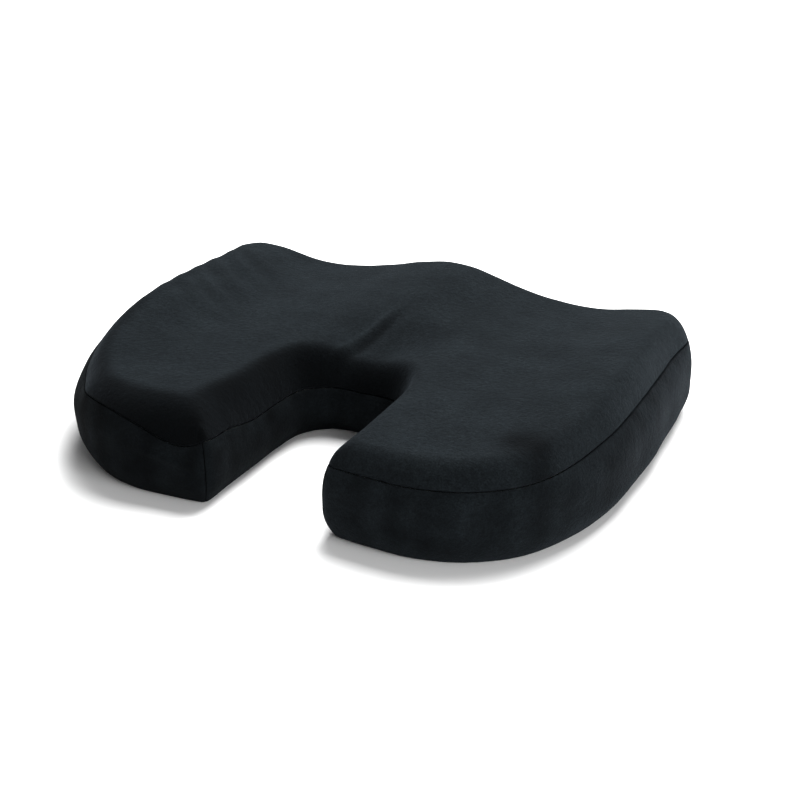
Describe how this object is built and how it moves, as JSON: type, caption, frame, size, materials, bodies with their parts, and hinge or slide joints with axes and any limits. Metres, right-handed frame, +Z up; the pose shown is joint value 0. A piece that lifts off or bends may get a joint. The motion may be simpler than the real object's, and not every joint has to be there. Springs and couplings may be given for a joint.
{
  "type": "seat cushion",
  "caption": "U-shaped foam seat cushion with a tailbone notch, thigh channels and a front pommel, in a dark velour cover with a zip and a non-slip base.",
  "frame": {"origin": "on the floor under the middle of the cushion's outline", "axes": "+X across the seat, +Y towards the front edge and the zip, +Z up; the notch opens at -Y"},
  "size_m": [0.4498, 0.3543, 0.091],
  "materials": {
    "foam": "open-cell memory foam, matte, pale cream",
    "velour": "short-pile velour, near black with a grey sheen",
    "grip_fabric": "woven polyester with small rubber dots",
    "zip_tape": "woven polyester tape",
    "zip_coil": "moulded nylon coil",
    "zip_metal": "black lacquered zinc casting"
  },
  "bodies": {
    "cushion": {"foam_core": "foam", "cover_top_panel": "velour", "side_band_right": "velour", "side_band_left": "velour", "notch_band": "velour", "front_band_upper": "velour", "front_band_lower": "velour", "base_panel": "grip_fabric", "zip_tape_upper": "zip_tape", "zip_tape_lower": "zip_tape", "zip_coil_upper": "zip_coil", "zip_coil_lower": "zip_coil", "zip_top_stop_upper": "zip_metal", "zip_top_stop_lower": "zip_metal", "zip_bottom_stop": "zip_metal"},
    "zip_slider": {"zip_slider": "zip_metal"},
    "zip_pull": {"zip_pull_tab": "zip_metal"}
  },
  "joints": [
    {"name": "zip_travel", "type": "slide", "parent": "cushion", "child": "zip_slider", "axis": [-1, 0, 0], "range_m": [0, 0.246], "deforming": ["zip_coil_upper", "zip_coil_lower"]},
    {"name": "pull_swing", "type": "hinge", "parent": "zip_slider", "child": "zip_pull", "pos_m": [0.124, 0.1772, 0.022], "axis": [0, 0, -1], "range_deg": [0, 170]}
  ]
}
